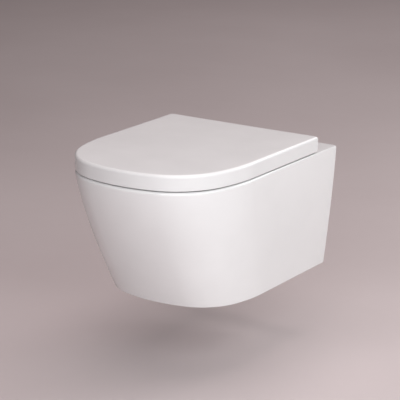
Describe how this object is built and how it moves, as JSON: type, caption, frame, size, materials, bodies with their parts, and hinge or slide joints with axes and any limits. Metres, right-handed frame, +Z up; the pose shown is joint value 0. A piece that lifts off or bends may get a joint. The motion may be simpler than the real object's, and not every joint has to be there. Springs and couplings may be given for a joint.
{
  "type": "wall hung toilet",
  "caption": "Wall hung toilet: D-shaped pan with trap, hidden wall brackets, and a soft-close lift-off seat and wrap-over lid.",
  "frame": {"origin": "halfway between the two wall studs, in the plane of the finished wall", "axes": "+Z up, +Y into the wall, +X to the right as one faces the toilet; the toilet reaches towards -Y"},
  "size_m": [0.3596, 0.5066, 0.29],
  "materials": {
    "china": "white gloss glaze",
    "white_seat_plastic": "white gloss duroplast",
    "white_hinge_plastic": "white satin moulding",
    "grey_button_plastic": "grey satin moulding",
    "black_nylon": "black matt moulding",
    "white_rubber": "off-white soft moulding",
    "black_rubber": "black soft moulding",
    "zinc_steel": "zinc plated",
    "stainless_steel": "turned stainless"
  },
  "bodies": {
    "pan": {"pan": "china", "flush_distributor": "white_hinge_plastic", "inlet_seal": "black_rubber", "wall_bracket_left": "zinc_steel", "wall_bracket_right": "zinc_steel", "bracket_pads": "black_rubber", "wall_washers": "zinc_steel", "wall_nuts": "zinc_steel", "clamp_washers": "zinc_steel", "clamp_nuts": "zinc_steel", "centring_sleeves": "black_nylon", "stud_gaskets": "white_rubber", "seat_studs": "stainless_steel"},
    "hinge_carriage": {"hinge_block_left": "white_hinge_plastic", "hinge_block_right": "white_hinge_plastic", "damper_caps": "white_hinge_plastic", "lid_damper": "black_nylon", "seat_damper": "black_nylon", "hinge_pins": "stainless_steel", "latch_clip_left": "stainless_steel", "latch_clip_right": "stainless_steel", "release_spring_left": "stainless_steel", "release_spring_right": "stainless_steel"},
    "seat": {"seat_ring": "white_seat_plastic", "seat_bush": "black_nylon", "seat_buffers": "white_rubber", "seat_damper_rotor": "stainless_steel"},
    "lid": {"lid": "white_seat_plastic", "lid_bush": "black_nylon", "lid_buffers": "white_rubber", "lid_damper_rotor": "stainless_steel"},
    "release_button_left": {"release_button_left": "grey_button_plastic"},
    "release_button_right": {"release_button_right": "grey_button_plastic"}
  },
  "joints": [
    {"name": "lift_off", "type": "slide", "parent": "pan", "child": "hinge_carriage", "axis": [0, 0, 1], "range_m": [0, 0.05]},
    {"name": "seat_hinge", "type": "hinge", "parent": "hinge_carriage", "child": "seat", "pos_m": [0, -0.085, 0.103], "axis": [-1, 0, 0], "range_deg": [0, 97]},
    {"name": "lid_hinge", "type": "hinge", "parent": "seat", "child": "lid", "pos_m": [0, -0.085, 0.103], "axis": [1, 0, 0], "range_deg": [-97, 0]},
    {"name": "release_left", "type": "slide", "parent": "hinge_carriage", "child": "release_button_left", "axis": [0, -1, 0], "range_m": [0, 0.0035], "stiffness_N_per_m": 400, "springref_m": -0.002, "deforming": ["release_spring_left", "latch_clip_left"]},
    {"name": "release_right", "type": "slide", "parent": "hinge_carriage", "child": "release_button_right", "axis": [0, -1, 0], "range_m": [0, 0.0035], "stiffness_N_per_m": 400, "springref_m": -0.002, "deforming": ["release_spring_right", "latch_clip_right"]}
  ]
}
